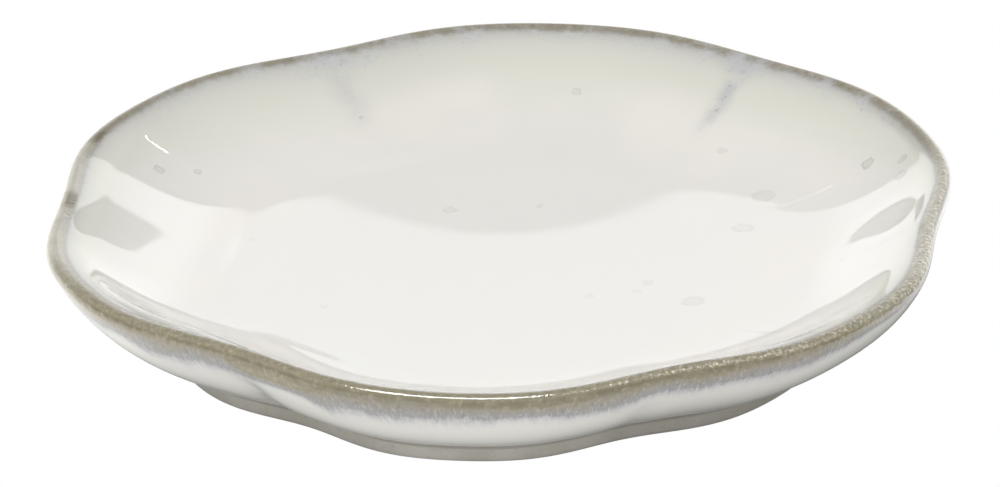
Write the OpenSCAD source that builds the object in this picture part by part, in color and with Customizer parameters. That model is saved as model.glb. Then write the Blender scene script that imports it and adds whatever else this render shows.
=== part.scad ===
// Petal-edged soy sauce dish in glazed stoneware.
// A lobed clay shell stands on a lobed foot ring and carries four coats of glaze.
// The origin is on the table under the middle of the dish, with +Z up and a notch on +X.

/* [Dish] */
// Width across two opposite lobes
across = 100; // [90:1:112]
// Height from the table to the top of the lip
height = 14; // [12.5:0.1:16]
// Number of lobes round the rim
lobes = 6; // [5:1:8]
// How far each notch between two lobes is pressed in
notch = 2.3; // [1:0.1:3]

/* [Wall] */
// Thickness of the round lip with its glaze
lip_t = 2; // [1.6:0.1:2.6]
// Thickness of the clay under the middle of the well
floor_t = 2.6; // [2:0.1:3.4]
// Slope of the well where it reaches the lip, in degrees
well_slope = 33; // [28:1:38]
// Slope of the outer wall where it leaves the lip, in degrees
wall_slope = 65; // [55:1:75]
// Slope of the outer wall where it reaches the foot, in degrees
wall_foot_slope = 26; // [15:1:35]
// Slope of the floor of the well round its level middle, in degrees
floor_slope = 3.6; // [2:0.2:5]
// Distance from the middle over which the floor levels out
floor_soft = 13; // [8:1:18]

/* [Foot] */
// Width of the foot across two opposite lobes
foot_across = 74; // [66:1:80]
// Height of the foot from the table to the underside of the shell
foot_h = 2.4; // [2:0.1:3]
// Width of the foot where it joins the shell
foot_w = 3; // [2.4:0.1:5]
// How far each side of the foot leans in from top to bottom
foot_draft = 0.1; // [0:0.05:0.5]
// Height of the rounding along the bottom of the foot
foot_round = 0.6; // [0.4:0.1:1.2]
// How much of the rounding is ground away to a flat standing face
foot_grind = 0.2; // [0.1:0.05:0.4]

/* [Glaze] */
// Thickness of every coat of glaze
glaze_t = 0.4; // [0.3:0.05:0.6]
// How far the rim band reaches into the well
band_in = 0.8; // [0.4:0.1:1.6]
// How far the rim band reaches down the outer wall
band_out = 1.2; // [0.8:0.1:3]
// Width of the bare clay between the outer coat and the foot
bare_w = 0.7; // [0.4:0.1:2]

/* [Hidden] */

// Facets round one lobe, and rings along each stretch of the profile
lobe_steps = 16;
well_rings = 9;
lip_rings = 5;
wall_rings = 5;
foot_rings = 6;
// Rings crowd towards the lip as this power falls below one
ring_crowding = 0.6;
// How far a cut runs past the surface that it leaves
overrun = 1;

steps = lobes * lobe_steps;
turn = 360 / steps;

// The round lip, whose clay core carries the glaze
lip_core_r = lip_t / 2 - glaze_t;
lip_r = across / 2 - lip_t / 2;
lip_z = height - lip_t / 2;

// The lip's arc starts square to the well's slope and ends square to the wall's
lip_start = 90 + well_slope;
lip_end = wall_slope - 90;

// The floor slopes gently, and the well's wall rises from it to reach the lip at the stated slope
floor_z = foot_h + floor_t;
well_r = lip_r + lip_core_r * cos(lip_start);
well_z = lip_z + lip_core_r * sin(lip_start);
function floor_rise(r) =
    let (t = r / floor_soft)
    floor_soft * tan(floor_slope) * ln((exp(t) + exp(-t)) / 2);
well_rise = well_z - floor_z - floor_rise(well_r);
well_w = 2 * well_rise / (tan(well_slope) - tan(floor_slope));
floor_r = well_r - well_w;

// The ridges between the lobes set in from the edge of the floor, over this share of the notch's depth
ridge_run_share = 2.8;

// The wall is a cubic curve from the foot to the lip, and its pull sets how far each slope carries
foot_r = foot_across / 2;
wall_pull_share = 0.36;
wall_start = [foot_r, foot_h];
wall_top = [lip_r + lip_core_r * cos(lip_end), lip_z + lip_core_r * sin(lip_end)];
wall_run = norm(wall_top - wall_start);
wall_pull = wall_pull_share * wall_run;
wall_leave = wall_start + wall_pull * [cos(wall_foot_slope), sin(wall_foot_slope)];
wall_arrive = wall_top - wall_pull * [cos(wall_slope), sin(wall_slope)];

// Where one coat of glaze gives way to the next, as shares of the curves
well_end_share = 1 - band_in / well_r;
band_end_share = 1 - band_out / wall_run;
bare_start_share = bare_w / wall_run;

// How far the profile at an azimuth is pressed in between the lobes
function press(azimuth) = notch * pow((1 + cos(lobes * azimuth)) / 2, 2);

// How much of that press has set in at a radius in the well, from 0 to 1
function ridge(r) =
    let (t = min(max((r - floor_r) / (ridge_run_share * notch), 0), 1))
    t * t * (3 - 2 * t);

// Points of the profile, as radius and height, where it is pressed in by p
function well_point(s, p) =
    let (
        r = well_r * s,
        t = max(r - floor_r, 0) / well_w
    )
    [r - p * ridge(r), floor_z + floor_rise(r) + well_rise * t * t * t * (2 - t)];
function lip_point(a, p) = [lip_r - p + lip_core_r * cos(a), lip_z + lip_core_r * sin(a)];
function wall_point(s, p) =
    let (t = 1 - s)
    t * t * t * wall_start + 3 * t * t * s * wall_leave + 3 * t * s * s * wall_arrive
        + s * s * s * wall_top - [p, 0];

// The clay's profile, from the middle of the well over the lip and down to the foot
function clay_line(p) = concat(
    [for (i = [0 : well_rings]) well_point(well_end_share * pow(i / well_rings, ring_crowding), p)],
    [for (i = [0 : lip_rings]) lip_point(lip_start + (lip_end - lip_start) * i / lip_rings, p)],
    [for (i = [0 : wall_rings])
        wall_point(band_end_share + (bare_start_share - band_end_share) * i / wall_rings, p)],
    [wall_point(0, p)]
);

// The ring where each stretch of the profile ends: the rim band also takes the wall's first ring
well_last = well_rings;
lip_last = well_last + lip_rings + 1;
band_last = lip_last + 1;
wall_last = band_last + wall_rings;
clay_last = wall_last + 1;

// Unit vector square to the profile at a ring, pointing out of the clay
function outward(line, i) =
    let (run = line[i + 1] - line[i - 1])
    [-run.y, run.x] / norm(run);

// The glaze's face over the same rings
function coat_line(line) = [
    for (i = [0 : wall_last])
        line[i] + glaze_t * (i == 0 ? [0, 1] : outward(line, i))
];

clay_lines = [for (j = [0 : steps - 1]) clay_line(press(j * turn))];
coat_lines = [for (line = clay_lines) coat_line(line)];

// Vertices of the rings from first to last, one ring after another
function rings(lines, first, last) = [
    for (i = [first : last])
        for (j = [0 : steps - 1])
            let (p = lines[j][i])
            [p.x * cos(j * turn), p.x * sin(j * turn), p.y]
];

// Triangles between two rings that start at vertices a and b, turned over where asked
function strip(a, b, over = false) = [
    for (j = [0 : steps - 1])
        let (k = (j + 1) % steps)
        each over
            ? [[a + j, b + k, b + j], [a + j, a + k, b + k]]
            : [[a + j, b + j, b + k], [a + j, b + k, a + k]]
];

// Triangles over a run of rings that starts at vertex a
function skin(a, count, over = false) = [
    for (i = [0 : count - 2])
        each strip(a + i * steps, a + (i + 1) * steps, over)
];

// Triangles from a middle vertex to the ring that starts at vertex a
function fan(middle, a, over = false) = [
    for (j = [0 : steps - 1])
        let (k = (j + 1) % steps)
        over ? [middle, a + k, a + j] : [middle, a + j, a + k]
];

// Outline of a lobed disc
function lobed_outline(r) = [
    for (j = [0 : steps - 1])
        let (q = r - press(j * turn))
        [q * cos(j * turn), q * sin(j * turn)]
];

// A closed ring of glaze over the clay's rings from first to last
module coat_band(first, last) {
    count = last - first + 1;
    inner = count * steps;
    end = (count - 1) * steps;
    polyhedron(
        points = concat(rings(coat_lines, first, last), rings(clay_lines, first, last)),
        faces = concat(
            skin(0, count),
            skin(inner, count, over = true),
            strip(0, inner, over = true),
            strip(end, inner + end)
        )
    );
}

// Fired stoneware: a round floor that rises into a lobed wall and a round lip
module clay_shell() {
    bottom = clay_last * steps + 1;
    color("#b4aea0")
        polyhedron(
            points = concat(
                [[0, 0, floor_z]],
                rings(clay_lines, 1, clay_last),
                [[0, 0, foot_h]]
            ),
            faces = concat(
                fan(0, 1),
                skin(1, clay_last),
                fan(bottom, bottom - steps, over = true)
            )
        );
}

// Section of the foot, down the outside, round the bottom and up the inside
function foot_line(p) =
    let (
        middle = foot_r - foot_w / 2 - p,
        half = foot_w / 2 - foot_draft
    )
    concat(
        [[foot_r - p, foot_h]],
        [for (i = [0 : foot_rings])
            let (a = -180 * i / foot_rings)
            [middle + half * cos(a), foot_round + (foot_round + foot_grind) * sin(a)]],
        [[foot_r - foot_w - p, foot_h]]
    );

// Standing ring that follows the lobes, with its rounded bottom ground flat
module foot_ring() {
    lines = [for (j = [0 : steps - 1]) foot_line(press(j * turn))];
    last = len(lines[0]) - 1;
    color("#aba8a0")
        difference() {
            polyhedron(
                points = rings(lines, 0, last),
                faces = concat(skin(0, last + 1), strip(last * steps, 0))
            );
            mirror([0, 0, 1])
                cylinder(d = across, h = foot_grind + overrun);
        }
}

// Cream coat over the floor and the inside of the wall
module well_glaze() {
    clay_middle = well_last * steps + 1;
    edge = clay_middle - steps;
    color("#f1f0ec")
        polyhedron(
            points = concat(
                [[0, 0, floor_z + glaze_t]],
                rings(coat_lines, 1, well_last),
                [[0, 0, floor_z]],
                rings(clay_lines, 1, well_last)
            ),
            faces = concat(
                fan(0, 1),
                skin(1, well_last),
                fan(clay_middle, clay_middle + 1, over = true),
                skin(clay_middle + 1, well_last, over = true),
                strip(edge, edge + clay_middle)
            )
        );
}

// Olive brown band where the glaze thins over the lip
module rim_glaze() {
    color("#948e7e")
        coat_band(well_last, band_last);
}

// Lavender white coat on the outside of the wall
module wall_glaze() {
    color("#d3d3d1")
        coat_band(band_last, wall_last);
}

// Coat in the recess under the floor, inside the foot
module base_glaze() {
    color("#e6e4da")
        translate([0, 0, foot_h - glaze_t])
            linear_extrude(glaze_t)
                polygon(lobed_outline(foot_r - foot_w));
}

clay_shell();
foot_ring();
well_glaze();
rim_glaze();
wall_glaze();
base_glaze();
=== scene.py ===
"""Looks of a petal-edged soy sauce dish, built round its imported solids."""

import math

import bpy
import numpy as np
from mathutils import Matrix


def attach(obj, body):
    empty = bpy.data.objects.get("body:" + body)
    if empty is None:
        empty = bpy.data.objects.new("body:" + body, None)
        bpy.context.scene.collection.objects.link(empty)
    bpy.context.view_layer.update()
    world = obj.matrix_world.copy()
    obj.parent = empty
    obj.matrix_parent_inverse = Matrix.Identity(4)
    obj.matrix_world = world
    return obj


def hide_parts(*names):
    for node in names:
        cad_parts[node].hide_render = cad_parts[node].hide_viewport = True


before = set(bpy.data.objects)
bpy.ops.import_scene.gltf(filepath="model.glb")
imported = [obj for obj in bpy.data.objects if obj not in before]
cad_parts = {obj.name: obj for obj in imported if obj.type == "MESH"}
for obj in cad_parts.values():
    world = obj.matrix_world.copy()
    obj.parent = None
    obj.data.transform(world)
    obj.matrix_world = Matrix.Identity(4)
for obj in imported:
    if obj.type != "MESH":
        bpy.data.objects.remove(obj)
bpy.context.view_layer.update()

MM = 0.001
TURN = 2 * math.pi
LOBES = 6
# Points round every ring
AROUND = 720
# The camera's azimuth. Places round the dish are counted from its right, anticlockwise from above
CAMERA_AZ = math.radians(7.70)

# Sizes in millimetres and slopes in degrees, as in the part's source
ACROSS = 100.0
HEIGHT = 14.0
LIP_T = 2.0
FLOOR_T = 2.6
FLOOR_SLOPE = 3.6
FLOOR_SOFT = 13.0
WALL_SLOPE = 65.0
WALL_FOOT_SLOPE = 26.0
WALL_PULL_SHARE = 0.36
FOOT_ACROSS = 74.0
FOOT_H = 2.4
FOOT_W = 3.0
FOOT_DRAFT = 0.1
FOOT_ROUND = 0.6
FOOT_GRIND = 0.2
GLAZE_T = 0.4
BAND_IN = 0.8
BAND_OUT = 1.2
BARE_W = 0.7

# This dish's own well: where its wall sets in, a flare that lays it flatter under the lip, and the lip's tilt
FLOOR_R = 28.2
FLARE_R = 45.3
FLARE_SHARE = 0.345
LIP_TILT = 25.0

# Each notch's own depth in millimetres and its drift in degrees, as a hand-pressed rim has
NOTCH_DEPTH = (2.18, 1.74, 2.46, 2.14, 2.38, 2.36)
NOTCH_DRIFT = (-1.63, -0.64, 1.39, 1.74, -0.33, -0.5)
# The same for the ridges inside, how sharp they are, where they set in and over how far
RIDGE_DEPTH = (1.67, 1.53, 3.05, 3.06, 2.5, 1.57)
RIDGE_DRIFT = (-2.02, 0.56, 2.19, -0.92, -6.23, 0.87)
RIDGE_SHARP = (1.41, 1.2, 1.2, 1.03, 1.38, 1.0)
RIDGE_FROM = (32.2, 27.1, 27.1, 27.9, 28.4, 27.8)
RIDGE_RUN = (8.4, 7.6, 7.6, 6.2, 5.9, 6.4)
# From this radius on the wall leaves its ridges and follows the notches of the lip
LIP_BLEND_R = 46.3
# How far the wall of each lobe is pressed in and lifted between two ridges
LOBE_DEPTH = (-1.24, 0, 0.15, 0.4, 0.33, 0.18)
LOBE_LIFT = (-0.3, 0, 0.01, -0.15, -0.04, -0.06)
# The lift grows between two radii, and fades from another one to the lip
LIFT_GROWS = (24.0, 43.0)
LIFT_FADES_R = 40.0
# Creases down the outside of the notches: depth in millimetres, drift in degrees and sharpness
CREASE_DEPTH = (0.15, 0.15, 0.15, 0.15, 0.8, 0.35)
CREASE_DRIFT = (-1.6, -0.6, 1.4, 1.7, 0.2, -3.4)
CREASE_SHARP = (60, 60, 60, 60, 28, 60)
# A crease fades over this share of the wall at both ends
CREASE_FADE_SHARE = 0.3
# A shallow wave that a thumb left in the wall: its middle, reach, slope, tilt and the radii where it fades
DENT_AT = (-40.83, -4.46)
DENT_REACH = (7.66, 3.61)
DENT_SLOPE = 0.055
DENT_TILT = 0.059
DENT_FADES = (48.3, 47.0)

# Rings along each stretch of the profile, and steps in which the well's height is summed
WELL_RINGS = 108
EDGE_RINGS = 6
LIP_RINGS = 32
BAND_RINGS = 8
WALL_RINGS = 60
BARE_RINGS = 5
PROFILE_STEPS = 2000
# Rings on the coats' backs and on the shell, and points down each stretch of the foot
WELL_BACK_RINGS = 11
RIM_BACK_RINGS = 12
WALL_BACK_RINGS = 8
SHELL_RINGS = 40
FOOT_OUTSIDE = 9
FOOT_BOTTOM = 9
FOOT_FLAT = 7
FOOT_INSIDE = 7

LIP_CORE = LIP_T / 2 - GLAZE_T
LIP_R = ACROSS / 2 - LIP_T / 2
LIP_Z = HEIGHT - LIP_T / 2
LIP_START = math.radians(90 + LIP_TILT)
LIP_END = math.radians(WALL_SLOPE - 90)
FLOOR_Z = FOOT_H + FLOOR_T
WELL_R = LIP_R + LIP_CORE * math.cos(LIP_START)
WELL_Z = LIP_Z + LIP_CORE * math.sin(LIP_START)
FLOOR_TAN = math.tan(math.radians(FLOOR_SLOPE))
FOOT_R = FOOT_ACROSS / 2

TH = np.arange(AROUND) * TURN / AROUND
SEEN = TH - CAMERA_AZ
COS, SIN = np.cos(TH), np.sin(TH)
UP = np.array([0.0, 0.0, 1.0])


def turned(angle):
    """An angle as a turn to either side, of half a turn at most."""
    return (angle + math.pi) % TURN - math.pi


def bumps(depths, drifts, sharpness):
    """A bump near each notch, with its own depth, drift in degrees and sharpness."""
    depth = np.zeros(AROUND)
    for k in range(LOBES):
        off = turned(TH - math.radians(360 / LOBES * k + drifts[k]))
        shape = ((1 + np.cos(LOBES * off)) / 2) ** sharpness[k]
        depth += np.where(np.abs(off) < math.pi / LOBES, depths[k] * shape, 0)
    return depth


def waves(*strengths):
    """Slow waves round the rim, from one to a turn upwards."""
    return sum(c * np.cos((k + 1) * SEEN) + s * np.sin((k + 1) * SEEN) for k, (c, s) in enumerate(strengths))


def around(values, blur=8.0):
    """A value for each azimuth, softened, from a few that are given by degrees from the camera's right."""
    line = np.interp(np.degrees(SEEN), list(values), list(values.values()), period=360)
    away = (np.arange(AROUND) + AROUND // 2) % AROUND - AROUND // 2
    soft = np.exp(-0.5 * (away / blur) ** 2)
    return np.real(np.fft.ifft(np.fft.fft(line) * np.fft.fft(soft / soft.sum())))


def ease(value, low, high):
    """A smooth step from 0 at low to 1 at high."""
    t = np.clip((value - low) / (high - low), 0, 1)
    return t * t * (3 - 2 * t)


def unit(vectors):
    """Vectors of the same directions, of length one."""
    return vectors / np.linalg.norm(vectors, axis=-1, keepdims=True)


MID_LOBE = (180 / LOBES,) * LOBES
PRESS = bumps(NOTCH_DEPTH, NOTCH_DRIFT, (2,) * LOBES)
PRESS_IN = bumps(RIDGE_DEPTH, RIDGE_DRIFT, RIDGE_SHARP) + bumps(LOBE_DEPTH, MID_LOBE, (1,) * LOBES)
LIFT = bumps(LOBE_LIFT, MID_LOBE, (1,) * LOBES)
CREASE = bumps(CREASE_DEPTH, CREASE_DRIFT, CREASE_SHARP)
nearest = np.round(TH / (TURN / LOBES)).astype(int) % LOBES
RIDGE_STARTS = np.array(RIDGE_FROM)[nearest]
RIDGE_ENDS = RIDGE_STARTS + np.array(RIDGE_RUN)[nearest]

# The rim isn't quite round or level, and it sags along one side
OVAL = waves((-0.089, 0.105), (-0.016, 0.009), (-0.162, 0.119), (-0.007, 0.091))
SWAY = waves((-0.034, -0.03), (-0.258, 0.058), (-0.006, 0.082))
SAG = around({
    -170: 0, -158: 0.22, -145: 0.25, -135: 0.17, -125: 0.02, -113: -0.2, -104: -0.58, -97: -0.78,
    -87: -0.74, -77: -0.72, -66: -0.42, -57: -0.55, -47: -0.47, -29: -0.5, -18: -0.4, -5: 0,
})


def floor_rise(r):
    """The floor's gentle slope, level in the very middle."""
    return FLOOR_SOFT * FLOOR_TAN * np.log(np.cosh(r / FLOOR_SOFT))


# The well's profile: a flat floor, a wall that steepens and the flare
RHO = np.linspace(0, WELL_R, PROFILE_STEPS + 1)
wall_tan = ease(RHO, FLOOR_R, WELL_R) * (1 - FLARE_SHARE * ease(RHO, FLARE_R, WELL_R))
wall_z = np.concatenate([[0], np.cumsum((wall_tan[1:] + wall_tan[:-1]) / 2)])
wall_rise = WELL_Z - FLOOR_Z - floor_rise(WELL_R)
PROFILE = FLOOR_Z + floor_rise(RHO) + wall_z * wall_rise / wall_z[-1]


def dent(r):
    """The height of the thumb's wave at a radius."""
    across = r * np.cos(SEEN) - DENT_AT[0]
    beside = r * np.sin(SEEN) - DENT_AT[1]
    across, beside = across + DENT_TILT * beside, beside - DENT_TILT * across
    far = (across / DENT_REACH[0]) ** 2 + (beside / DENT_REACH[1]) ** 2
    return DENT_SLOPE * across * np.exp(-0.5 * far)


def well_ring(s):
    """Radius and height round the well at a share of the way from its middle to the lip."""
    rho = WELL_R * s
    lip = ease(rho, LIP_BLEND_R, WELL_R)
    r = rho - ((1 - lip) * PRESS_IN + lip * PRESS) * ease(rho, RIDGE_STARTS, RIDGE_ENDS)
    lift = LIFT * ease(rho, *LIFT_GROWS) * (1 - ease(rho, LIFT_FADES_R, WELL_R))
    z = np.interp(rho, RHO, PROFILE) + lift + dent(r) * ease(rho, *DENT_FADES)
    return r + OVAL * s**2, z + SWAY * s**3 + SAG * s**6


def lip_ring(angle):
    """Radius and height round the lip at an angle of its rounding."""
    r = LIP_R - PRESS + OVAL + LIP_CORE * math.cos(angle)
    z = LIP_Z + SWAY + SAG + LIP_CORE * math.sin(angle)
    return r, z


def slope_vector(degrees):
    return np.array([math.cos(math.radians(degrees)), math.sin(math.radians(degrees))])


# The wall is a cubic curve from the foot to the lip
WALL_START = np.array([FOOT_R, FOOT_H])
WALL_TOP = np.array([LIP_R + LIP_CORE * math.cos(LIP_END), LIP_Z + LIP_CORE * math.sin(LIP_END)])
WALL_RUN = float(np.linalg.norm(WALL_TOP - WALL_START))
WALL_PULL = WALL_PULL_SHARE * WALL_RUN
WALL_LEAVE = WALL_START + WALL_PULL * slope_vector(WALL_FOOT_SLOPE)
WALL_ARRIVE = WALL_TOP - WALL_PULL * slope_vector(WALL_SLOPE)


def wall_ring(s):
    """Radius and height round the wall at a share of the way from the foot to the lip."""
    t = 1 - s
    p = t**3 * WALL_START + 3 * t * t * s * WALL_LEAVE + 3 * t * s * s * WALL_ARRIVE + s**3 * WALL_TOP
    pinch = CREASE * ease(s, 0.0, CREASE_FADE_SHARE) * ease(s, 1.0, 1 - CREASE_FADE_SHARE)
    return p[0] - PRESS - pinch + OVAL * s, p[1] + (SWAY + SAG) * s


# Where one coat of glaze gives way to the next, as shares of the curves
WELL_END = 1 - BAND_IN / WELL_R
BAND_END = 1 - BAND_OUT / WALL_RUN
BARE_START = BARE_W / WALL_RUN

# The clay's rings from the middle of the well over the lip and down to the foot
profile = [well_ring(WELL_END * s) for s in np.linspace(0, 1, WELL_RINGS + 1)[1:-1]]
WELL_LAST = len(profile)
profile += [well_ring(s) for s in np.linspace(WELL_END, 1, EDGE_RINGS + 1)[:-1]]
profile += [lip_ring(angle) for angle in np.linspace(LIP_START, LIP_END, LIP_RINGS + 1)]
profile += [wall_ring(s) for s in np.linspace(1, BAND_END, BAND_RINGS + 1)[1:-1]]
BAND_LAST = len(profile)
profile += [wall_ring(s) for s in np.linspace(BAND_END, BARE_START, WALL_RINGS + 1)]
WALL_LAST = len(profile) - 1
profile += [wall_ring(s) for s in np.linspace(BARE_START, 0, BARE_RINGS + 1)[1:]]
CLAY_LAST = len(profile) - 1
CLAY = np.array(profile).transpose(0, 2, 1)

# The glaze's face lies square to the profile, out of the clay
along = np.gradient(CLAY, axis=0)
COAT = CLAY + GLAZE_T * unit(np.stack([-along[..., 1], along[..., 0]], -1))
COAT[WALL_LAST + 1:] = CLAY[WALL_LAST + 1:]

# Distance along the profile from the top of the lip, in millimetres, below zero inside
step = np.linalg.norm(np.diff(COAT, axis=0), axis=-1).mean(1)
RUN = np.concatenate([[0], np.cumsum(step)])
RUN -= RUN[np.argmax(COAT[..., 1].mean(1))]


def solid_of(line):
    """Rings of radius and height as points in the part's frame, in millimetres."""
    return np.stack([line[..., 0] * COS, line[..., 0] * SIN, line[..., 1]], -1)


def surface_normals(points):
    """Normals of a surface that is given as rings of points."""
    return unit(np.cross(np.gradient(points, axis=0), np.roll(points, -1, 1) - np.roll(points, 1, 1)))


def edge_normals(points, other):
    """Normals of the narrow strip between a coat's face and the clay."""
    return unit(np.cross(np.roll(points, -1, 0) - np.roll(points, 1, 0), other - points))


def level(normal):
    """One normal for a whole ring."""
    return np.tile(normal, (AROUND, 1))


COAT_XYZ, CLAY_XYZ = solid_of(COAT), solid_of(CLAY)
COAT_N, CLAY_N = surface_normals(COAT_XYZ), surface_normals(CLAY_XYZ)

# Paint round the rim: where the brown ends inside and outside and how wide the mauve is, in millimetres,
# then how crisp the inner edge is, how pale the lip is, how hazy its inside is and how lumpy it is.
# Where the lip's paleness is below zero it is dark.
RIM = {
    "edge_in": around({
        -170: 1.3, -150: 1.2, -137: 1.3, -90: 1.2, -37: 1.2, -14: 1.05, 7: 0.9, 32: 1.1, 90: 1.15,
        135: 0.88, 165: 0.98,
    }),
    "edge_out": around({
        -165: 1.2, -158: 1.9, -152: 1.9, -149: 1.5, -145: 1.35, -137: 1.3, -128: 1.2, -126: 3.0,
        -116: 2.9, -113: 1.4, -108: 1.05, -100: 1.1, -95: 1.5, -90: 1.9, -85: 1.8, -79: 1.4,
        -75: 1.2, -70: 1.4, -65: 1.7, -55: 1.3, -37: 1.1, -26: 1.0, -14: 0.75, 7: 0.5, 20: 0.8,
        32: 1.1, 90: 1.3,
    }, blur=2.5),
    "mauve": around({
        -158: 1.5, -146: 1.6, -143: 2.5, -135: 2.5, -133: 2.2, -128: 2.0, -126: 0.9, -116: 0.7,
        -113: 2.8, -100: 2.5, -95: 2.1, -90: 1.6, -85: 1.8, -79: 2.3, -75: 2.4, -73: 1.6, -71: 1.6,
        -69: 1.9, -60: 1.8, -50: 2.0, -42: 1.2, -30: 0.5, -14: 0.4, 20: 0.4, 90: 1.3,
    }, blur=2.5),
    "crisp": around({
        -175: 3, -150: 2.5, -130: 1.5, -50: 1.5, -30: 2.5, 12: 2.5, 26: 1.3, 60: 1, 120: 1,
        145: 1.3, 158: 3,
    }),
    "pale": around({
        -168: 0.9, -162: 0.5, -153: 0, -45: 0, -30: 0.35, -22: 1.1, -5: 1.2, 6: 0.8, 14: 0.3, 20: 0,
        153: 0, 153.8: -1, 156: -1, 158: 0.9, 172.5: 0.9, 174: -1, 177: -1, 178.5: 0.9,
    }, blur=1.0),
    "haze": around({
        -160: 0.6, 10: 0.6, 22: 1.2, 32: 1.8, 56: 1.8, 66: 0.9, 85: 0.7, 104: 1.3, 116: 1.3,
        124: 0.7, 140: 0.6,
    }),
    "lumpy": around({
        -170: 0.15, -150: 0.4, -125: 0.4, -115: 0.2, -100: 0.1, -84: 0.15, -76: 0.6, -68: 1, -10: 1,
        8: 0.6, 20: 0.1, 150: 0.1,
    }),
}
# Lines of thin glaze down the ridges: azimuth in degrees, strength and width in millimetres
LINES = ((53.2, 1.15, 0.75), (114.5, 0.5, 1.3), (-8.5, 0.15, 0.6), (172, 0.15, 0.6))
# They grow wider towards the lip, by so much over these distances, and fade at both ends
LINE_FLARE = 1.3
LINE_FLARES = (-4.5, -0.8)
LINE_STARTS = (-15.0, -6.0)
LINE_ENDS = (0.5, -0.5)
# How fast the radius grows along the well's wall
WALL_LEAN = 0.87


def ridge_lines(run):
    """How thin the glaze is along the ridges at a distance from the lip."""
    line = np.zeros(AROUND)
    radius = LIP_R + WALL_LEAN * min(run, 0)
    for azimuth, strength, width in LINES:
        off = turned(SEEN - math.radians(azimuth))
        width = width + LINE_FLARE * ease(run, *LINE_FLARES)
        line = line + strength * np.exp(-0.5 * (off * radius / width) ** 2)
    return line * ease(run, *LINE_STARTS) * ease(run, *LINE_ENDS)


# The bake map is a square, cut into rows or filled by round maps about these places
MAP_ROWS = 6
MAP_EDGE = 0.005
MAP_ROW_EDGE = 0.03
MAP_MIDDLE = (0.5, 0.5)
MAP_CORNER = (0.93, 0.07)
MAP_CORNER_R = 0.06
# Round maps of the well, the shell and the base: a small middle, the reach of the face and its edges
WELL_MAP_MIDDLE = 0.004
WELL_MAP_REACH = 0.47
WELL_MAP_EDGE = (0.001, 0.003)
WELL_BACK_SHARE = 0.12
WELL_BACK_AT = (0.935, 0.065)
SHELL_MAP_MIDDLE = 0.002
SHELL_MAP_REACH = 0.48
BASE_MAP_EDGE = 0.475
BASE_MAP_FACE = 0.465
BASE_MAP_INSET = 0.45
# The base's face has a ring just inside its edge, at this share of its width
BASE_INSET_SHARE = 0.97


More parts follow.
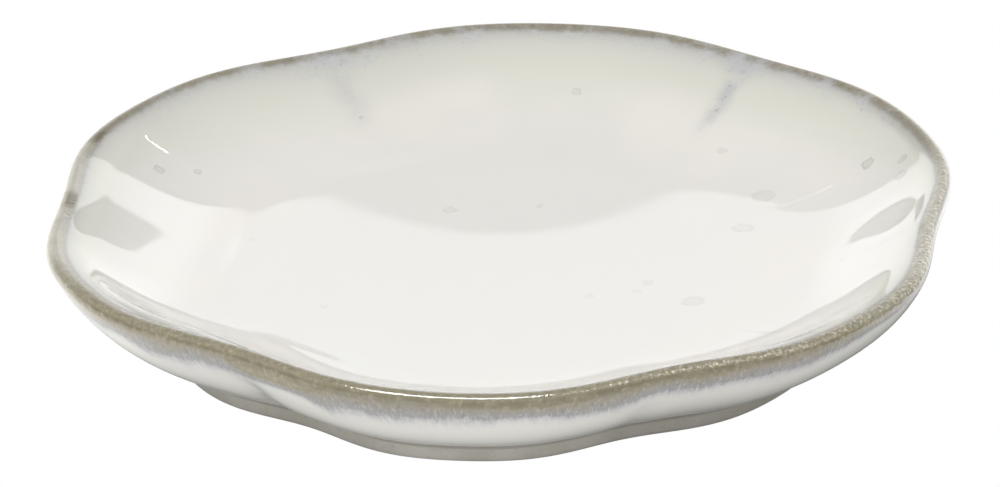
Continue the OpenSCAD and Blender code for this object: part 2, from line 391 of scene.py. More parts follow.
class Skin:
    """Gathers faces between rings of points, with a normal, a map place and paint values."""

    def __init__(self):
        self.points, self.wrap = [], []
        self.faces, self.normals, self.places = [], [], []
        self.paint = {key: [] for key in ("run", "line", *RIM)}
        self.count = 0

    def add(self, points, wrap, paint):
        """Adds points with their values and gives the number of the first."""
        first = self.count
        self.points.append(points)
        self.wrap.append(wrap)
        for key, value in paint.items():
            self.paint[key].append(value)
        self.count += len(points)
        return first

    def ring(self, points, run=0.0):
        """Adds a ring at a distance from the lip."""
        wrap = np.stack([LIP_R * COS, LIP_R * SIN, np.full(AROUND, run)], -1)
        return self.add(points, wrap, {"run": np.full(AROUND, run), "line": ridge_lines(run), **RIM})

    def middle(self, z, run=0.0):
        """Adds the point in the middle of a face."""
        paint = {key: np.ones(1) for key in RIM}
        paint.update(run=np.array([run]), line=np.zeros(1))
        return self.add(np.array([[0.0, 0.0, z]]), np.array([[0.0, 0.0, run]]), paint)

    def strip(self, a, b, normals_a, normals_b, share_a, share_b):
        """Quads from ring a to ring b. The map is cut into rows that lie one above the other."""
        per_row = AROUND // MAP_ROWS
        wide, high = 1 - 2 * MAP_EDGE, 1 - 2 * MAP_ROW_EDGE
        for j in range(AROUND):
            k = (j + 1) % AROUND
            row, column = divmod(j, per_row)
            u0 = MAP_EDGE + wide * column / per_row
            u1 = MAP_EDGE + wide * (column + 1) / per_row
            v0 = (row + MAP_ROW_EDGE + high * share_a) / MAP_ROWS
            v1 = (row + MAP_ROW_EDGE + high * share_b) / MAP_ROWS
            self.faces.append((a + j, b + j, b + k, a + k))
            self.normals.extend((normals_a[j], normals_b[j], normals_b[k], normals_a[k]))
            self.places.extend(((u0, v0), (u0, v1), (u1, v1), (u1, v0)))

    def round_face(self, corners, over, at):
        """A face on a round map, from corners that each hold a point, a normal, a map radius and a step."""
        points, normals, radii, steps = zip(*(corners[::-1] if over else corners))
        self.faces.append(points)
        self.normals.extend(normals)
        self.places.extend((at[0] + r * COS[j], at[1] + r * SIN[j]) for r, j in zip(radii, steps))

    def disc_strip(self, a, b, normals_a, normals_b, radius_a, radius_b, over=False, at=MAP_MIDDLE):
        """Quads from ring a to ring b, on a round map."""
        for j in range(AROUND):
            k = (j + 1) % AROUND
            corners = ((a + j, normals_a[j], radius_a, j), (b + j, normals_b[j], radius_b, j),
                       (b + k, normals_b[k], radius_b, k), (a + k, normals_a[k], radius_a, k))
            self.round_face(corners, over, at)

    def fan(self, middle, a, normal, normals_a, radius_a, over=False, at=MAP_MIDDLE):
        """Triangles from a middle point to ring a, on a round map."""
        for j in range(AROUND):
            k = (j + 1) % AROUND
            corners = ((middle, normal, 0.0, j), (a + j, normals_a[j], radius_a, j),
                       (a + k, normals_a[k], radius_a, k))
            self.round_face(corners, over, at)

    def make(self, name, material, node):
        """The finished piece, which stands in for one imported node."""
        mesh = bpy.data.meshes.new(name)
        mesh.from_pydata((np.concatenate(self.points) * MM).tolist(), [], self.faces)
        mesh.shade_smooth()
        mesh.uv_layers.new(name="OFBake").data.foreach_set("uv", np.array(self.places, np.float32).ravel())
        for key, values in self.paint.items():
            layer = mesh.attributes.new(key, "FLOAT", "POINT")
            layer.data.foreach_set("value", np.concatenate(values).astype(np.float32))
        layer = mesh.attributes.new("wrap", "FLOAT_VECTOR", "POINT")
        layer.data.foreach_set("vector", np.concatenate(self.wrap).astype(np.float32).ravel())
        mesh.normals_split_custom_set(np.array(self.normals, np.float32).tolist())
        mesh.materials.append(material)
        piece = bpy.data.objects.new(name, mesh)
        bpy.context.scene.collection.objects.link(piece)
        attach(piece, "root")
        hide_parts(node)


def rgb(*screen):
    """A screen colour as linear light, opaque."""
    shares = [v / 255 for v in screen]
    return (*(v / 12.92 if v <= 0.04045 else ((v + 0.055) / 1.055) ** 2.4 for v in shares), 1.0)


def darker(colour, share):
    return (*(share * v for v in colour[:3]), 1.0)


class Graph:
    """Short ways to add and join nodes in one tree."""

    def __init__(self, tree):
        self.tree = tree

    def node(self, kind, inputs=None, **fields):
        node = self.tree.nodes.new(kind)
        for key, value in fields.items():
            setattr(node, key, value)
        for key, value in (inputs or {}).items():
            self.set(node.inputs[key], value)
        return node

    def set(self, socket, value):
        if isinstance(value, bpy.types.NodeSocket):
            self.tree.links.new(value, socket)
        else:
            socket.default_value = value

    def math(self, operation, a, b=0.0, c=0.0, clamp=False):
        node = self.node("ShaderNodeMath", {0: a, 1: b, 2: c}, operation=operation, use_clamp=clamp)
        return node.outputs[0]

    def product(self, first, *others, clamp=False):
        """All the values multiplied, and the last product kept between 0 and 1 where asked."""
        for other in others[:-1]:
            first = self.math("MULTIPLY", first, other)
        return self.math("MULTIPLY", first, others[-1], clamp=clamp)

    def total(self, first, *others):
        for other in others:
            first = self.math("ADD", first, other)
        return first

    def vector(self, operation, *values):
        node = self.node("ShaderNodeVectorMath", dict(enumerate(values)), operation=operation)
        return node.outputs["Value" if operation == "DISTANCE" else "Vector"]

    def turn_to_camera(self, vector):
        """A vector as seen from the camera's azimuth, with x to its right and y ahead."""
        inputs = {"Vector": vector, "Angle": -CAMERA_AZ}
        return self.node("ShaderNodeVectorRotate", inputs, rotation_type="Z_AXIS").outputs[0]

    def parts(self, vector):
        return self.node("ShaderNodeSeparateXYZ", {0: vector}).outputs[:3]

    def remap(self, value, start, end, low=0.0, high=1.0):
        """A smooth step from low to high as the value goes from start to end."""
        limits = {"Value": value, "From Min": start, "From Max": end, "To Min": low, "To Max": high}
        return self.node("ShaderNodeMapRange", limits, interpolation_type="SMOOTHSTEP").outputs["Result"]

    def noise(self, vector, scale, detail, rough):
        inputs = {"Vector": vector, "Scale": scale, "Detail": detail, "Roughness": rough}
        return self.node("ShaderNodeTexNoise", inputs).outputs["Fac"]

    def value(self, name):
        return self.node("ShaderNodeAttribute", attribute_name=name).outputs["Fac"]

    def mix(self, factor, a, b):
        inputs = {"Factor": factor, "A": a, "B": b}
        return self.node("ShaderNodeMix", inputs, data_type="RGBA").outputs["Result"]

    def ramp(self, value, stops):
        """A colour for a value, straight between stops of a place and a screen colour."""
        node = self.node("ShaderNodeValToRGB", {"Fac": value})
        node.color_ramp.interpolation = "LINEAR"
        elements = node.color_ramp.elements
        while len(elements) < len(stops):
            elements.new(0.5)
        for element, (place, colour) in zip(elements, stops):
            element.position = place
            element.color = rgb(*colour)
        return node.outputs["Color"]

    def surface(self, colour, rough, bump):
        """The shader of a fired surface."""
        inputs = {"Base Color": colour, "Roughness": rough, "Normal": bump.outputs["Normal"], "IOR": 1.5}
        shader = self.node("ShaderNodeBsdfPrincipled", inputs)
        self.node("ShaderNodeOutputMaterial", {"Surface": shader.outputs["BSDF"]})


def new_material(name):
    material = bpy.data.materials.new(name)
    material.use_nodes = True
    material.node_tree.nodes.clear()
    return material, Graph(material.node_tree)


# Small flaws in the well's glaze: place and size in millimetres, and how dark they are
MARKS = (
    (3.5, 40.5, 9.5, 0.6, 0.6), (21.0, 28.8, 7.9, 0.55, 0.5), (26.5, 19.2, 6.8, 1.4, 0.4),
    (37.9, 21.9, 10.0, 0.9, 1.0), (41.9, 19.5, 11.7, 0.65, 0.9), (41.9, 16.5, 11.1, 0.8, 0.9),
    (2.1, 16.7, 6.0, 0.5, 0.5), (-39.7, 13.3, 10.5, 0.75, 0.8), (-35.9, 16.4, 9.0, 0.5, 0.7),
    (-19.9, 31.9, 9.5, 0.3, 1.0), (-22.7, 38.5, 13.4, 0.5, 0.6), (-7.7, 15.0, 6.0, 0.8, 0.4),
    (25.1, 11.2, 6.5, 1.2, 0.35), (21.6, -7.9, 6.3, 1.4, 0.4), (16.2, -2.6, 5.9, 0.7, 0.35),
    (36.8, -0.6, 8.3, 0.25, 0.6), (10.2, -6.2, 5.7, 0.5, 0.3), (15.1, -4.9, 5.9, 0.5, 0.3),
    (-18.0, -12.0, 6.0, 0.5, 0.25), (-28.0, 4.0, 6.6, 0.4, 0.25),
)
# How a flaw's outline is bent, the shares of its size where it ends, is darkest and pale, and its middle
FLAW_BEND = 1.1
FLAW_BEND_SCALE = 0.9
FLAW_END_SHARE = 1.05
FLAW_DARK_SHARE = 0.85
FLAW_PALE_SHARE = 0.45
FLAW_MIDDLE = 0.6

# Screen colours of the well's glaze by the depth into it in millimetres, where the brown's edge is at 1
WELL_REACH = 25.0
WELL_COLOURS = (
    (0.0, (149, 143, 125)), (0.6, (149, 144, 130)), (0.8, (159, 156, 148)), (1.0, (174, 172, 166)),
    (1.25, (188, 187, 181)), (1.6, (197, 196, 191)), (2.0, (204, 204, 197)), (2.6, (210, 210, 202)),
    (3.4, (214, 214, 205)), (5.0, (220, 219, 209)), (7.0, (224, 223, 213)), (10.0, (228, 227, 218)),
    (14.0, (232, 230, 224)), (WELL_REACH, (236, 235, 230)),
)
# Screen colours of the outer glaze, by the distance past the brown's edge in widths of the mauve
WALL_COLOURS = (
    (-0.4, (148, 142, 121)), (-0.05, (142, 135, 113)), (0.2, (151, 145, 132)), (0.45, (149, 146, 140)),
    (0.95, (153, 153, 156)), (1.2, (184, 184, 186)), (1.6, (206, 206, 206)), (2.1, (214, 214, 211)),
    (3.6, (213, 213, 209)),
)
# Where those distances lie on their ramp
WALL_RAMP_START = 0.1
WALL_RAMP_SHARE = 0.25

# Tints in the glaze, with a painted shadow under the lip and painted glints on its crest: a screen colour,
# and how strongly it covers
TINTS = {
    "cloud": ((241, 236, 230), 0.6),
    "thin": ((189, 190, 193), 0.68),
    "speck": ((128, 128, 134), 0.5),
    "haze": ((200, 200, 205), 0.5),
    "flaw": ((180, 182, 174), 0.55),
    "dash": ((122, 118, 119), 0.6),
    "fleck": ((200, 200, 205), 0.25),
    "shadow": ((108, 100, 80), 0.5),
    "dark mottle": ((116, 110, 91), 0.4),
    "pale mottle": ((178, 171, 148), 0.4),
    "pale_stretch": ((190, 186, 174), 1.0),
    "burnt": ((118, 110, 93), 0.85),
    "painted_glint": ((212, 206, 184), 0.6),
}
# Roughness of the glaze, and what patches and the brown add to it
GLAZE_ROUGH = 0.008
PATCH_ROUGH = 0.02
BROWN_ROUGH = 0.08
# Relief in millimetres: lumps on the lip, slow waves, the dip of a flaw and a fine grain
LUMP = 0.11
SLOW_WAVE = 0.012
FLAW_DIP = 0.006
GRAIN = 0.0006
# Runs down the wall are noise that is drawn out along the profile, which counts at this share
STREAK_SHARE = 0.32


class GlazePaint:
    """Colour, roughness and relief of the glaze over the whole dish, by the distance from the lip."""

    def __init__(self, g):
        self.g = g
        self.at = {key: g.value(key) for key in ("run", "line", *RIM)}
        self.inside = g.product(self.at["run"], -1.0)
        self.place = g.node("ShaderNodeTexCoord").outputs["Object"]
        wrap = g.node("ShaderNodeAttribute", attribute_name="wrap").outputs["Vector"]
        drawn_out = g.vector("MULTIPLY", wrap, (1.0, 1.0, STREAK_SHARE))
        self.cloudy = g.noise(self.place, 60.0, 2.0, 0.5)
        self.patchy = g.noise(self.place, 420.0, 3.0, 0.6)
        self.fine = g.noise(self.place, 1500.0, 3.0, 0.65)
        self.speck = g.noise(self.place, 2600.0, 2.0, 0.6)
        self.pebble = g.noise(self.place, 1900.0, 1.0, 0.5)
        self.drift = g.noise(wrap, 0.16, 2.0, 0.5)
        self.streak = g.noise(drawn_out, 1.7, 3.0, 0.65)
        self.dash = g.noise(drawn_out, 3.6, 2.0, 0.55)
        self.depth = self.depth_inside()
        self.fall = self.fall_outside()
        self.flaw = self.flaws()
        self.brown = g.product(g.remap(self.depth, 1.1, 0.6), g.remap(self.fall, 0.4, -0.1))

    def swing(self, noise, size):
        """A noise as a swing of this size to either side."""
        return self.g.math("MULTIPLY_ADD", noise, 2 * size, -size)

    def tint(self, colour, name, *masks):
        """A colour with one of the tints laid over it where all the masks are high."""
        screen, strength = TINTS[name]
        return self.g.mix(self.g.product(*masks, strength), colour, rgb(*screen))

    def depth_inside(self):
        """Distance into the well, one at the brown's edge, uneven along it and quicker where it is crisp."""
        g = self.g
        wobble = g.total(self.swing(self.patchy, 0.5), self.swing(self.fine, 0.4))
        wobble = g.product(wobble, g.remap(self.inside, 0.5, 5.0, 1.0, 0.0))
        wobble = g.math("DIVIDE", wobble, self.at["crisp"])
        depth = g.math("SUBTRACT", self.inside, g.math("SUBTRACT", self.at["edge_in"], 1.0))
        depth = g.total(depth, wobble)
        beyond = g.math("MAXIMUM", g.math("SUBTRACT", depth, 1.0), 0.0)
        return g.math("MULTIPLY_ADD", beyond, g.math("SUBTRACT", self.at["crisp"], 1.0), depth)

    def fall_outside(self):
        """Distance down the wall past the brown's edge, in widths of the mauve, ragged with runs."""
        g = self.g
        ragged = g.total(self.swing(self.streak, 0.5), self.swing(self.drift, 0.6))
        ragged = g.product(ragged, g.remap(self.at["run"], 0.8, 2.6))
        past = g.math("SUBTRACT", self.at["run"], self.at["edge_out"])
        return g.total(g.math("DIVIDE", past, self.at["mauve"]), ragged)

    def flaws(self):
        """How thin the glaze is at the marks, most along their edges."""
        g = self.g
        at = g.vector("MULTIPLY", self.place, (1 / MM,) * 3)
        noise = g.node("ShaderNodeTexNoise", {"Vector": at, "Scale": FLAW_BEND_SCALE, "Detail": 1.0})
        at = g.vector("MULTIPLY_ADD", noise.outputs["Color"], (FLAW_BEND,) * 3, at)
        flaw = 0.0
        for *middle, size, strength in MARKS:
            far = g.vector("DISTANCE", at, tuple(v + FLAW_BEND / 2 for v in middle))
            spot = g.remap(far, size * FLAW_END_SHARE, size * FLAW_DARK_SHARE, 0.0, strength)
            edge = g.remap(far, size * FLAW_PALE_SHARE, size * FLAW_DARK_SHARE, FLAW_MIDDLE, 1.0)
            flaw = g.math("MAXIMUM", g.product(spot, edge), flaw)
        return flaw

    def well_colour(self):
        """Inside the lip the brown thins to grey and then to cream."""
        g, inside, line, patchy = self.g, self.inside, self.at["line"], self.patchy
        root = g.math("SQRT", g.product(g.math("MAXIMUM", self.depth, 0.0), 1 / WELL_REACH))
        colour = g.ramp(root, [(math.sqrt(d / WELL_REACH), screen) for d, screen in WELL_COLOURS])
        cloud = g.remap(self.cloudy, 0.36, 0.64)
        colour = self.tint(colour, "cloud", cloud, g.remap(inside, 5.0, 11.0), g.remap(inside, 30.0, 18.0))
        colour = self.tint(colour, "thin", line, g.remap(patchy, 0.32, 0.6, 0.35, 1.0))
        near = g.product(g.remap(inside, 4.2, 1.0), g.remap(self.drift, 0.42, 0.6, 0.25, 1.0))
        near = g.product(near, self.at["haze"], g.remap(self.at["crisp"], 1.2, 2.2, 1.0, 0.0), clamp=True)
        zone = g.math("MAXIMUM", g.product(line, line), near, clamp=True)
        specks = g.product(g.remap(self.speck, 0.58, 0.66), g.remap(patchy, 0.42, 0.58))
        colour = self.tint(colour, "speck", specks, zone)
        colour = self.tint(colour, "haze", near, g.remap(patchy, 0.4, 0.65))
        return self.tint(colour, "flaw", self.flaw)

    def wall_colour(self):
        """Outside the lip the brown turns mauve, with dashes and flecks, and then lavender white."""
        g, fall = self.g, self.fall
        at = g.math("MULTIPLY_ADD", fall, WALL_RAMP_SHARE, WALL_RAMP_START, clamp=True)
        colour = g.ramp(at, [(WALL_RAMP_START + WALL_RAMP_SHARE * d, screen) for d, screen in WALL_COLOURS])
        mauve = g.product(g.remap(fall, 0.0, 0.4), g.remap(fall, 1.7, 1.1))
        dashes = g.product(g.remap(self.dash, 0.55, 0.66), g.remap(self.streak, 0.42, 0.58))
        colour = self.tint(colour, "dash", dashes, mauve)
        return self.tint(colour, "fleck", g.remap(self.dash, 0.47, 0.34), mauve)

    def colour(self):
        """The brown is mottled, darker with painted shade under the lip, paler along stretches of the lip,
        and has painted glints on its crest.
        """
        g, run, brown, pale = self.g, self.at["run"], self.brown, self.at["pale"]
        colour = g.mix(g.remap(run, -0.2, 0.2), self.well_colour(), self.wall_colour())
        under = g.product(g.remap(run, 0.75, 1.15), g.remap(run, 1.9, 1.3))
        colour = self.tint(colour, "shadow", under, g.remap(self.patchy, 0.35, 0.6, 0.3, 1.0), brown)
        colour = self.tint(colour, "dark mottle", g.remap(self.fine, 0.52, 0.68), brown)
        colour = self.tint(colour, "pale mottle", g.remap(self.fine, 0.47, 0.34), brown)
        # Paler along the stretches of the lip where its paleness is above zero
        pale_stretch = g.math("MAXIMUM", pale, 0.0)
        colour = self.tint(colour, "pale_stretch", pale_stretch, brown, g.remap(self.patchy, 0.3, 0.6, 0.55, 0.8))
        burnt = g.math("MAXIMUM", g.product(pale, -1.0), 0.0)
        colour = self.tint(colour, "burnt", burnt, brown, g.remap(run, 0.3, 0.0))
        # Painted glints: light specks along the lumpy crest of the lip, standing in for the lamps' highlights
        glint_crest = g.product(g.remap(run, -0.5, -0.1), g.remap(run, 1.1, 0.7))
        return self.tint(colour, "painted_glint", glint_crest, g.remap(self.speck, 0.53, 0.62), self.at["lumpy"], brown)

    def roughness(self):
        g = self.g
        rough = g.math("MULTIPLY_ADD", self.patchy, PATCH_ROUGH, GLAZE_ROUGH)
        return g.math("MULTIPLY_ADD", self.brown, BROWN_ROUGH, rough)

    def relief(self):
        g = self.g
        lumps = g.product(self.swing(self.pebble, LUMP), self.at["lumpy"], self.brown)
        dips = g.product(self.flaw, -FLAW_DIP)
        return g.total(lumps, self.swing(self.cloudy, SLOW_WAVE), dips, self.swing(self.speck, GRAIN))


def paint_group():
    """The glaze's paint as one group that its three coats share."""
    tree = bpy.data.node_groups.new("petal_glaze", "ShaderNodeTree")
    tree.interface.new_socket("Color", in_out="OUTPUT", socket_type="NodeSocketColor")
    for name in ("Roughness", "Height"):
        tree.interface.new_socket(name, in_out="OUTPUT", socket_type="NodeSocketFloat")
    g = Graph(tree)
    paint = GlazePaint(g)
    outputs = {"Color": paint.colour(), "Roughness": paint.roughness(), "Height": paint.relief()}
    g.node("NodeGroupOutput", outputs)
    return tree


PAINT = paint_group()


def glaze_material(name):
    """Glossy glaze with the shared paint."""
    material, g = new_material(name)
    paint = g.node("ShaderNodeGroup", node_tree=PAINT).outputs
    bump = g.node("ShaderNodeBump", {"Strength": 1.0, "Distance": MM, "Height": paint["Height"]})
    g.surface(paint["Color"], paint["Roughness"], bump)
    return material


# Painted shade, a dark line along the top of the foot under the wall: its height, how soft and wavy it is, in
# metres, and how dark it is
FOOT_SHADE_LINE = 0.0019
FOOT_SHADE_SOFT = 0.0003
FOOT_SHADE_WAVE = 0.0002
FOOT_SHADE_STRENGTH = 0.45
FOOT_SHADE_SHARE = 0.3
# Grains in the clay: how strongly they cover, how dark they are, and their height in metres and roughness
GRAIN_STRENGTH = 0.45
GRAIN_SHARE = 0.55
GRAIN_HEIGHT = 0.00004
GRAIN_ROUGH = 0.2


def clay_material(name, light, dark, rough, line=None):
    """Fired clay or a plain coat, in two shades with darker grains, and with painted shade above a height
    where one is given.
    """
    material, g = new_material(name)
    place = g.node("ShaderNodeTexCoord").outputs["Object"]
    broad = g.noise(place, 160.0, 3.0, 0.55)
    grain = g.noise(place, 3400.0, 3.0, 0.65)
    colour = g.mix(g.remap(broad, 0.35, 0.65), dark, light)
    grains = g.product(g.remap(grain, 0.58, 0.72), GRAIN_STRENGTH)
    colour = g.mix(grains, colour, darker(dark, GRAIN_SHARE))
    # Painted shade: a dark line at the top of the foot, where it meets the wall
    if line:
        height = g.math("MULTIPLY_ADD", broad, FOOT_SHADE_WAVE, g.parts(place)[2])
        above = g.product(g.remap(height, line - FOOT_SHADE_SOFT, line), FOOT_SHADE_STRENGTH)
        colour = g.mix(above, colour, darker(dark, FOOT_SHADE_SHARE))
    bump = g.node("ShaderNodeBump", {"Strength": 0.6, "Distance": GRAIN_HEIGHT, "Height": grain})
    g.surface(colour, g.math("MULTIPLY_ADD", grain, GRAIN_ROUGH, rough), bump)
    return material


cream_glaze = glaze_material("cream_glaze")
brown_glaze = glaze_material("brown_glaze")
lavender_glaze = glaze_material("lavender_glaze")
clay = clay_material("clay", rgb(132, 127, 116), rgb(112, 107, 96), 0.55)
foot_clay = clay_material("foot_clay", rgb(224, 221, 212), rgb(211, 207, 197), 0.4, FOOT_SHADE_LINE)
base_glaze = clay_material("base_glaze", rgb(230, 228, 218), rgb(222, 219, 208), 0.1)


def some_rings(first, last, count):
    """About this many rings of the profile, spread evenly from first to last."""
    return sorted({int(round(i)) for i in np.linspace(first, last, count)})


def pairs(items):
    return zip(items[:-1], items[1:])


def well_coat():
    """The cream coat in the well: its face, its back on the clay and the narrow edge between them."""
    skin = Skin()
    radius = WELL_MAP_MIDDLE + WELL_MAP_REACH * (RUN - RUN[0]) / (RUN[WELL_LAST] - RUN[0])
    face = [skin.ring(COAT_XYZ[i], RUN[i]) for i in range(WELL_LAST + 1)]
    skin.fan(skin.middle(FLOOR_Z + GLAZE_T, RUN[0]), face[0], UP, COAT_N[0], radius[0])
    for a, b in pairs(range(WELL_LAST + 1)):
        skin.disc_strip(face[a], face[b], COAT_N[a], COAT_N[b], radius[a], radius[b])
    rings = some_rings(0, WELL_LAST, WELL_BACK_RINGS)
    back = {i: skin.ring(CLAY_XYZ[i], RUN[i]) for i in rings}
    small = WELL_BACK_SHARE * radius
    skin.fan(skin.middle(FLOOR_Z, RUN[0]), back[0], -UP, -CLAY_N[0], small[0], over=True, at=WELL_BACK_AT)
    for a, b in pairs(rings):
        normals = -CLAY_N[a], -CLAY_N[b]
        skin.disc_strip(back[a], back[b], *normals, small[a], small[b], over=True, at=WELL_BACK_AT)
    normals = -edge_normals(COAT_XYZ[WELL_LAST], CLAY_XYZ[WELL_LAST])
    edge = [radius[WELL_LAST] + width for width in WELL_MAP_EDGE]
    skin.disc_strip(face[WELL_LAST], back[WELL_LAST], normals, normals, *edge)
    skin.make("well_coat", cream_glaze, "well_glaze")


# Shares of a map row that a coat's face, its two edges and its back take up
FACE_SHARES = (0.02, 0.72)
LOWER_EDGE_SHARES = (0.74, 0.77)
BACK_SHARES = (0.98, 0.8)
UPPER_EDGE_SHARES = (0.99, 1.0)


def coat_piece(name, material, node, first, last, back_rings):
    """A closed ring of glaze between two rings of the profile, over a coarser back."""
    skin = Skin()
    face = {i: skin.ring(COAT_XYZ[i], RUN[i]) for i in range(first, last + 1)}
    share = np.interp(RUN, RUN[[first, last]], FACE_SHARES)
    for a, b in pairs(range(first, last + 1)):
        skin.strip(face[a], face[b], COAT_N[a], COAT_N[b], share[a], share[b])
    rings = some_rings(first, last, back_rings)
    back = {i: skin.ring(CLAY_XYZ[i], RUN[i]) for i in rings}
    share = np.interp(np.arange(len(RUN)), (first, last), BACK_SHARES)
    for a, b in pairs(rings):
        skin.strip(back[b], back[a], -CLAY_N[b], -CLAY_N[a], share[b], share[a])
    normals = edge_normals(COAT_XYZ[first], CLAY_XYZ[first])
    skin.strip(back[first], face[first], normals, normals, *UPPER_EDGE_SHARES)
    normals = -edge_normals(COAT_XYZ[last], CLAY_XYZ[last])
    skin.strip(face[last], back[last], normals, normals, *LOWER_EDGE_SHARES)
    skin.make(name, material, node)


def clay_body():
    """The clay shell inside the coats, bare in a narrow line above the foot."""
    skin = Skin()
    radius = SHELL_MAP_MIDDLE + SHELL_MAP_REACH * (RUN - RUN[0]) / (RUN[CLAY_LAST] - RUN[0])
    rings = some_rings(0, WALL_LAST, SHELL_RINGS) + list(range(WALL_LAST + 1, CLAY_LAST + 1))
    shell = {i: skin.ring(CLAY_XYZ[i], RUN[i]) for i in rings}
    skin.fan(skin.middle(FLOOR_Z), shell[0], UP, CLAY_N[0], radius[0])
    for a, b in pairs(rings):
        skin.disc_strip(shell[a], shell[b], CLAY_N[a], CLAY_N[b], radius[a], radius[b])
    skin.fan(skin.middle(FOOT_H), shell[CLAY_LAST], -UP, level(-UP), MAP_CORNER_R, over=True, at=MAP_CORNER)
    skin.make("clay_body", clay, "clay_shell")


def foot_section():
    """Points down the outside of the foot, round its bottom, flat where it stands, and up the inside."""
    middle = FOOT_R - FOOT_W / 2
    half = FOOT_W / 2 - FOOT_DRAFT
    depth = FOOT_ROUND + FOOT_GRIND
    flat_from = math.asin(FOOT_ROUND / depth)
    flat_to = math.pi - flat_from

    def bottom(start, end):
        angles = np.linspace(start, end, FOOT_BOTTOM)
        return [(middle + half * math.cos(a), FOOT_ROUND - depth * math.sin(a)) for a in angles]

    section = [(FOOT_R, FOOT_H)]
    for k in np.linspace(0, 1, FOOT_OUTSIDE)[1:-1]:
        section.append((FOOT_R - FOOT_DRAFT * k, FOOT_H + (FOOT_ROUND - FOOT_H) * k))
    section += bottom(0, flat_from)
    section += [(middle + half * math.cos(a), 0.0) for a in np.linspace(flat_from, flat_to, FOOT_FLAT)[1:-1]]
    section += bottom(flat_to, math.pi)
    for k in np.linspace(0, 1, FOOT_INSIDE)[1:]:
        section.append((FOOT_R - FOOT_W + FOOT_DRAFT * (1 - k), FOOT_ROUND + (FOOT_H - FOOT_ROUND) * k))
    return section


def lobed_ring(r, z):
    """Points of a ring that follows the notches."""
    return solid_of(np.stack([r - PRESS, np.full(AROUND, z)], -1))


def foot():
    """The standing ring under the shell."""
    skin = Skin()
    points = np.array([lobed_ring(r, z) for r, z in foot_section()])
    normals = surface_normals(points)
    rings = [skin.ring(p) for p in points]
    span = len(rings)
    for a, b in pairs(range(span)):
        skin.strip(rings[a], rings[b], normals[a], normals[b], a / span, b / span)
    skin.strip(rings[-1], rings[0], level(UP), level(UP), (span - 1) / span, 1.0)
    skin.make("foot", foot_clay, "foot_ring")


def base_coat():
    """The coat in the recess under the floor."""
    skin = Skin()
    r = FOOT_R - FOOT_W
    low_z = FOOT_H - GLAZE_T
    top = skin.ring(lobed_ring(r, FOOT_H))
    low = skin.ring(lobed_ring(r, low_z))
    inset = skin.ring(lobed_ring(r, low_z) * np.array([BASE_INSET_SHARE, BASE_INSET_SHARE, 1.0]))
    side = np.stack([COS, SIN, 0 * COS], -1)
    skin.fan(skin.middle(FOOT_H), top, UP, level(UP), MAP_CORNER_R, at=MAP_CORNER)
    skin.disc_strip(top, low, side, side, BASE_MAP_EDGE, BASE_MAP_FACE)
    skin.disc_strip(low, inset, level(-UP), level(-UP), BASE_MAP_FACE, BASE_MAP_INSET)
    skin.fan(skin.middle(low_z), inset, -UP, level(-UP), BASE_MAP_INSET, over=True)
    skin.make("base_coat", base_glaze, "base_glaze")


well_coat()
coat_piece("rim_band", brown_glaze, "rim_glaze", WELL_LAST, BAND_LAST, RIM_BACK_RINGS)
coat_piece("wall_coat", lavender_glaze, "wall_glaze", BAND_LAST, WALL_LAST, WALL_BACK_RINGS)
clay_body()
foot()
base_coat()

# The white table, and the light that it throws up: less under the dish and more from its two sides.
# A range gives two distances in metres and the light at both.
TABLE_R = 1.5
TABLE_CORNERS = 64
BOUNCE_Z = -0.0002
BOUNCE_COLOUR = (1, 0.99, 0.955, 1)
SHADE_AT = (0.006, -0.001, 0.0)
SHADE_SHAPE = (1.0, 1.25, 1.0)
SHADE = (0.040, 0.066, 0.18, 1.1)
RIGHT_SIDE = (0.052, 0.085, 0.0, 1.1)
LEFT_SIDE = (-0.036, -0.07, 0.0, 0.8)


def disc(name, height, colour, strength_of):
    """A glowing disc on the table, clear from below."""
    corners = [TURN * k / TABLE_CORNERS for k in range(TABLE_CORNERS)]
    mesh = bpy.data.meshes.new(name)
    mesh.from_pydata([(TABLE_R * math.cos(a), TABLE_R * math.sin(a), height) for a in corners],
                     [], [tuple(range(TABLE_CORNERS))])
    material, g = new_material(name)
    glow = g.node("ShaderNodeEmission", {"Color": colour, "Strength": strength_of(g)})
    clear = g.node("ShaderNodeBsdfTransparent")
    below = g.node("ShaderNodeNewGeometry").outputs["Backfacing"]
    both = g.node("ShaderNodeMixShader", {0: below, 1: glow.outputs[0], 2: clear.outputs[0]})
    g.node("ShaderNodeOutputMaterial", {"Surface": both.outputs[0]})
    mesh.materials.append(material)
    stage_disc = bpy.data.objects.new(name, mesh)
    bpy.context.scene.collection.objects.link(stage_disc)
    return stage_disc


def shade(g):
    """How strongly the table lights the dish from a place on it."""
    place = g.turn_to_camera(g.node("ShaderNodeTexCoord").outputs["Object"])
    right = g.parts(place)[0]
    middle = tuple(a * b for a, b in zip(SHADE_AT, SHADE_SHAPE))
    far = g.vector("DISTANCE", g.vector("MULTIPLY", place, SHADE_SHAPE), middle)
    sides = g.total(g.remap(right, *RIGHT_SIDE), g.remap(right, *LEFT_SIDE))
    return g.total(g.remap(far, *SHADE), sides)


table = disc("table", 0.0, (1, 1, 1, 1), lambda g: 1.0)
table.visible_diffuse = table.visible_glossy = False
bounce = disc("bounce", BOUNCE_Z, BOUNCE_COLOUR, shade)
bounce.visible_camera = False

# The room by bearing and rise: a bright backdrop ahead, brighter to the right and left.
# A range gives two angles in degrees and the light or softness at both.
BACKDROP_RIGHT = (6.0, 16.0, 1.18, 1.9)
BACKDROP_LEFT = (-6.0, -16.0, 0.0, 0.42)
# The backdrop's upper edge is an arch, with its top, lean and fall, and is softest in its middle
ARCH_TOP = 28.68
ARCH_LEAN = 0.054
ARCH_FALL = 0.01402
ARCH_SOFT = (8.0, 16.0, 0.22, 0.06)
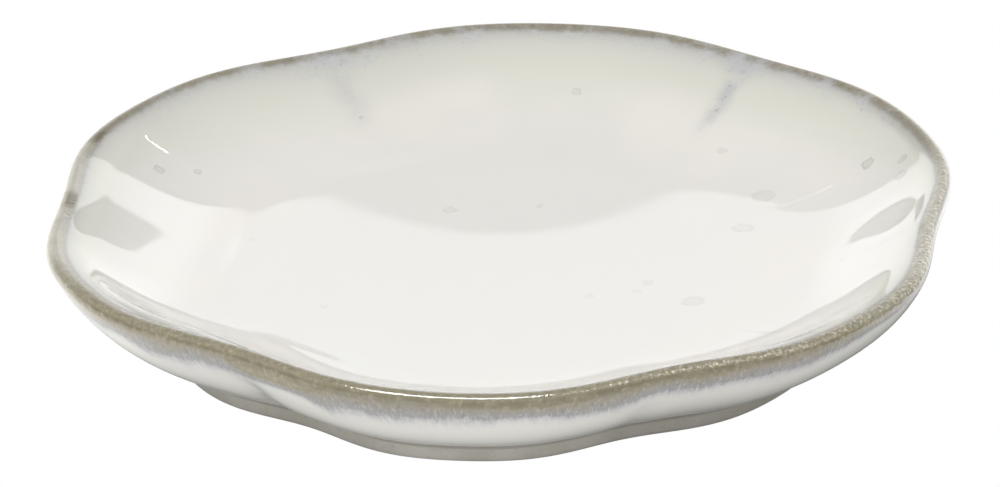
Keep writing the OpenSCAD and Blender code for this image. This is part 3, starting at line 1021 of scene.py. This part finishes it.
# Over it the room is dim, with some light from behind the camera that ends high up
ROOM = 0.3
FRONT_RIGHT = (112.0, 172.0, 0.0, 0.5)
FRONT_LEFT = (-98.0, -158.0, 0.0, 0.5)
FRONT_ENDS = (55.0, 35.0)
# The room gives way to the white table just under the horizon
HORIZON = -2.0


def studio_world():
    """Light from the room round the table, by direction."""
    world = bpy.data.worlds.new("studio")
    bpy.context.scene.world = world
    world.use_nodes = True
    world.node_tree.nodes.clear()
    g = Graph(world.node_tree)
    x, y, z = g.parts(g.turn_to_camera(g.node("ShaderNodeTexCoord").outputs["Generated"]))
    rise = g.product(g.math("ARCSINE", z), math.degrees(1))
    bearing = g.product(g.math("ARCTAN2", x, y), math.degrees(1))
    turn = g.math("ABSOLUTE", bearing)
    backdrop = g.total(g.remap(bearing, *BACKDROP_RIGHT), g.remap(bearing, *BACKDROP_LEFT))
    lean = g.math("MULTIPLY_ADD", bearing, ARCH_LEAN, ARCH_TOP)
    arch = g.math("MULTIPLY_ADD", g.product(turn, turn), -ARCH_FALL, lean)
    over = g.math("DIVIDE", g.math("SUBTRACT", rise, arch), g.remap(turn, *ARCH_SOFT))
    over = g.remap(over, -1.0, 1.0)
    front = g.total(g.remap(bearing, *FRONT_RIGHT), g.remap(bearing, *FRONT_LEFT))
    upper = g.total(g.product(front, g.remap(rise, *FRONT_ENDS)), ROOM)
    light = g.total(g.product(backdrop, g.math("SUBTRACT", 1.0, over)), g.product(upper, over))
    light = g.total(g.product(light, g.remap(rise, HORIZON, 0.0)), g.remap(rise, 0.0, HORIZON))
    sky = g.node("ShaderNodeBackground", {"Color": light, "Strength": 1.0})
    g.node("ShaderNodeOutputWorld", {"Surface": sky.outputs[0]})


studio_world()


def matrix_of(*columns):
    """A placing from three axes and a place."""
    return Matrix([[float(column[k]) for column in columns] for k in range(3)] + [[0, 0, 0, 1]])


def soft_box(name, direction, along, distance, size, power):
    """A lamp that faces the dish, with its long side along a direction, seen from the camera's azimuth."""
    data = bpy.data.lights.new(name, "AREA")
    data.shape = "RECTANGLE"
    data.size, data.size_y = size
    data.energy = power
    lamp = bpy.data.objects.new(name, data)
    bpy.context.scene.collection.objects.link(lamp)
    c, s = math.cos(CAMERA_AZ), math.sin(CAMERA_AZ)
    away, right = (unit(np.array([c * x - s * y, s * x + c * y, z])) for x, y, z in (direction, along))
    right = unit(right - away * right.dot(away))
    fore = np.cross(away, right)
    lamp.matrix_world = matrix_of(right, fore, away, away * distance)
    lamp.visible_camera = False
    return lamp


# The long box overhead lights the dish, and its twin only gives the reflection along the front of the lip
OVERHEAD = (-0.109, -0.194, 0.975)
SIDEWAYS = (1, 0, 0)
soft_box("key", OVERHEAD, SIDEWAYS, distance=1.3, size=(0.8, 0.3), power=10.5)
strip = soft_box("strip", OVERHEAD, SIDEWAYS, distance=1.25, size=(0.8, 0.36), power=12.0)
# A box to the right for the sparkles along the rim, and a far one for the curved glint in the well
GLINT_FROM = (0.58, -0.014, 0.814)
GLINT_ALONG = (0.402, 0.555, -0.294)
SPARK_FROM = (0.4842, 0.6899, 0.5381)
SPARK_ALONG = (0.0414, -0.0050, -0.0309)
glint = soft_box("glint", GLINT_FROM, GLINT_ALONG, distance=1.25, size=(0.93, 0.12), power=3.5)
strip.visible_diffuse = glint.visible_diffuse = False
soft_box("spark", SPARK_FROM, SPARK_ALONG, distance=6.0, size=(0.31, 0.031), power=1.23)

# The camera: angles in degrees, the height that it aims at and its distance in metres, and its lens
CAMERA_RISE = 23.798
CAMERA_ROLL = -1.403
AIM_Z = 0.013
CAMERA_FAR = 0.9936
SENSOR = 36.0
LENS_SHARE = 9.185
SHIFT = (-0.00109, -0.03526)
CLIP_START = 0.01


def add_camera():
    """The camera that sees the dish as the photo does."""
    rise, roll = math.radians(CAMERA_RISE), math.radians(CAMERA_ROLL)
    right = np.array([math.cos(CAMERA_AZ), math.sin(CAMERA_AZ), 0.0])
    away = np.array([math.sin(CAMERA_AZ), -math.cos(CAMERA_AZ), 0.0])
    back = away * math.cos(rise) + UP * math.sin(rise)
    above = np.cross(back, right)
    lens_right = right * math.cos(roll) + above * math.sin(roll)
    lens_above = above * math.cos(roll) - right * math.sin(roll)
    data = bpy.data.cameras.new("camera")
    data.sensor_width = SENSOR
    data.lens = SENSOR * LENS_SHARE
    data.shift_x, data.shift_y = SHIFT
    data.clip_start = CLIP_START
    camera = bpy.data.objects.new("camera", data)
    bpy.context.scene.collection.objects.link(camera)
    camera.matrix_world = matrix_of(lens_right, lens_above, back, AIM_Z * UP + CAMERA_FAR * back)
    bpy.context.scene.camera = camera


add_camera()
bpy.context.scene.view_settings.view_transform = "Standard"

bpy.context.view_layer.update()
